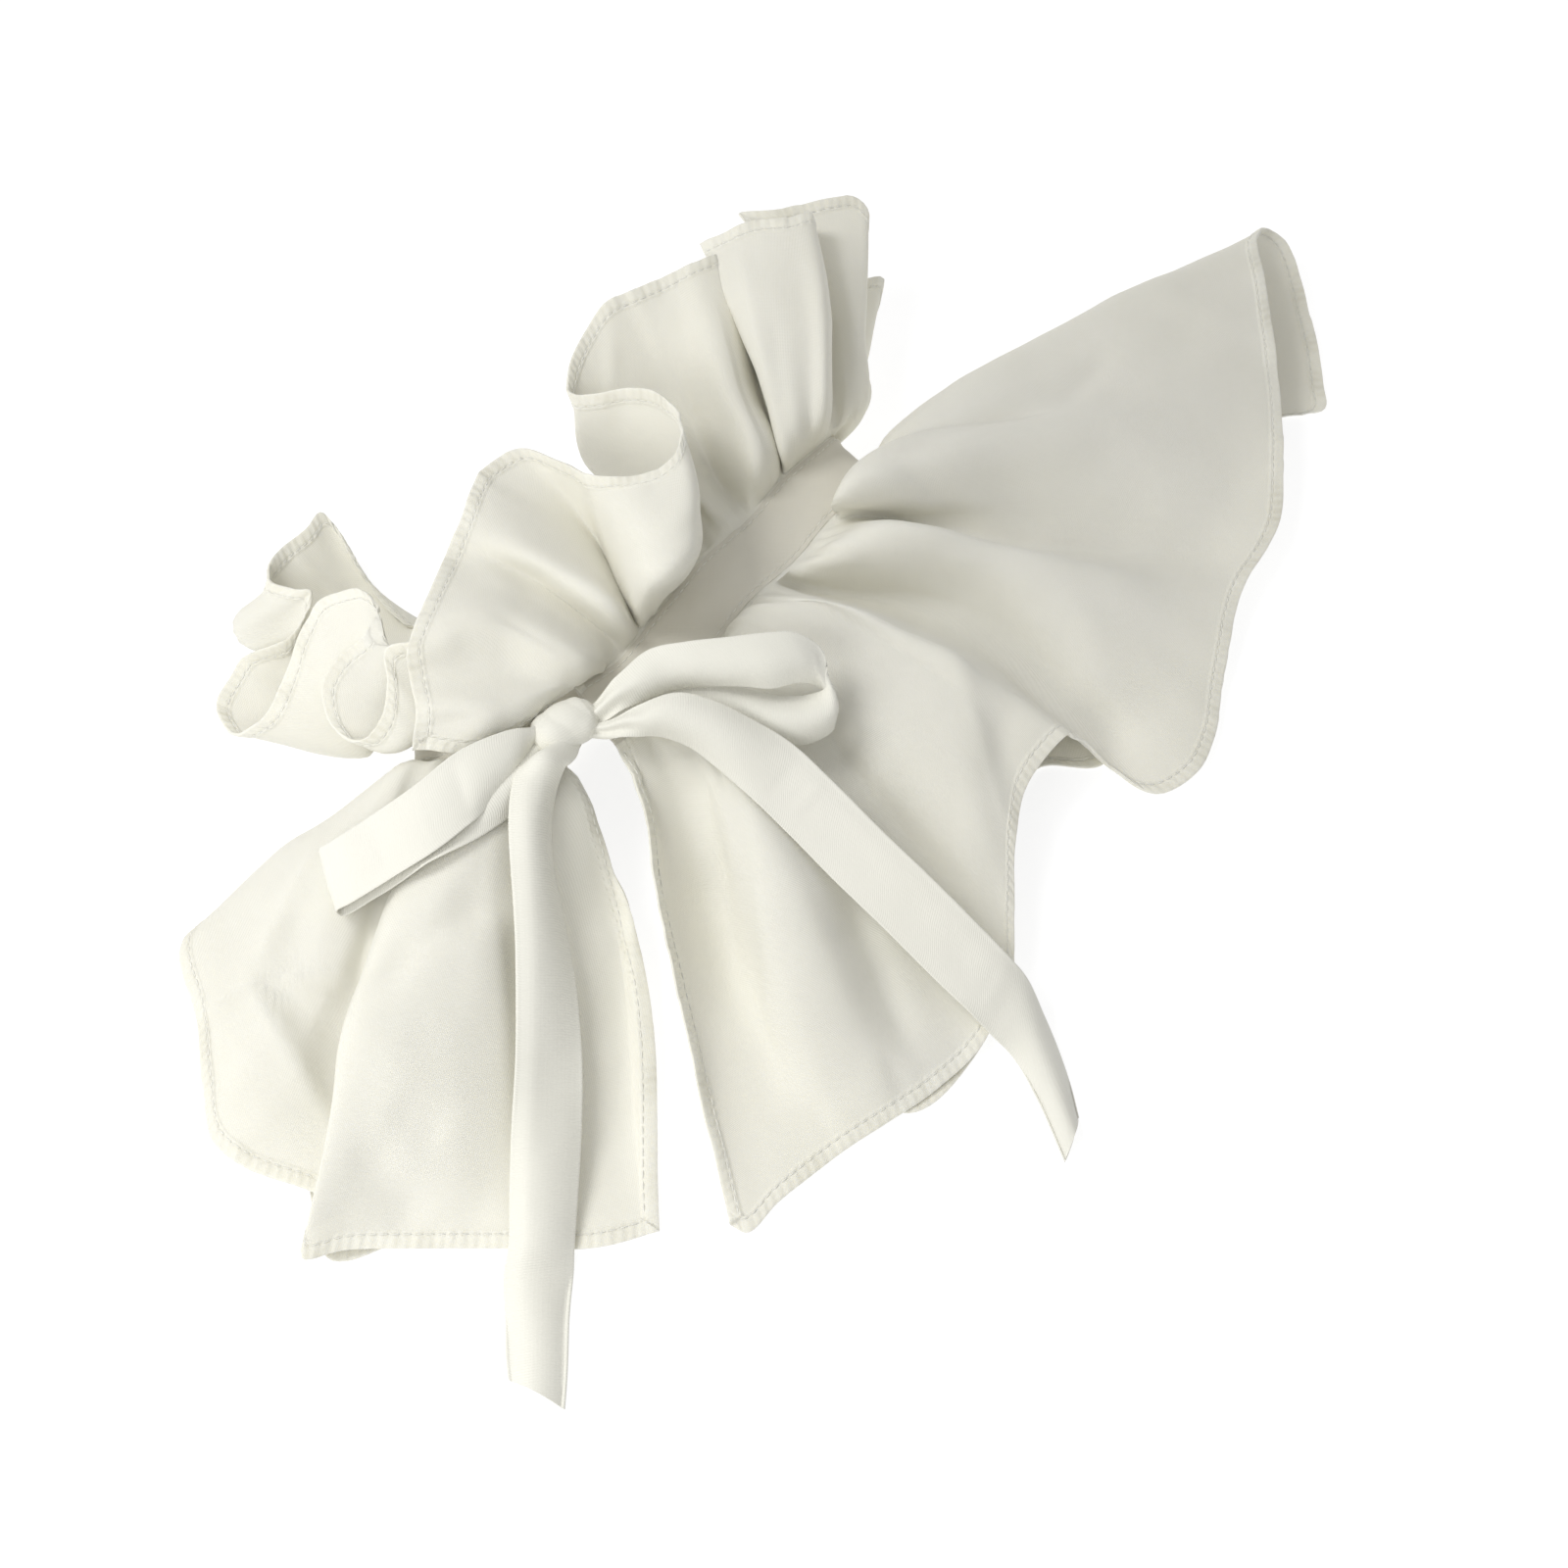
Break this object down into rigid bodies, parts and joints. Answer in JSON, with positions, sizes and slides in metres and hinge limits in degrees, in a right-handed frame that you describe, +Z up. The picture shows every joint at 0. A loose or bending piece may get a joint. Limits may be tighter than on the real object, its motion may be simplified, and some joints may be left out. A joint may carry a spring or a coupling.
{
  "type": "detachable ruffle collar",
  "caption": "Detachable ruffle collar of thin woven cloth: a neck band with a ruffle on each edge, closed at the front with a ribbon bow, lying collapsed.",
  "frame": {"origin": "centre of the box's footprint, on the surface the collar lies on", "axes": "+Z up. +X runs along the flattened neck band, from the bow to the far fold of the loop. +Y points from the lower ruffle to the upper ruffle, along the neck opening"},
  "size_m": [0.4593, 0.3002, 0.0643],
  "materials": {
    "ruffle_cloth": "plain woven cotton voile, matte",
    "band_cloth": "plain woven cotton, two layers, matte",
    "ribbon": "fine ribbed grosgrain ribbon, slight sheen"
  },
  "bodies": {
    "root": {"neck_band": "band_cloth", "upper_ruffle": "ruffle_cloth", "lower_ruffle": "ruffle_cloth", "bow_knot": "ribbon", "bow_loop_left": "ribbon", "bow_loop_right": "ribbon", "ribbon_tail_down": "ribbon", "ribbon_tail_right": "ribbon"}
  },
  "joints": []
}
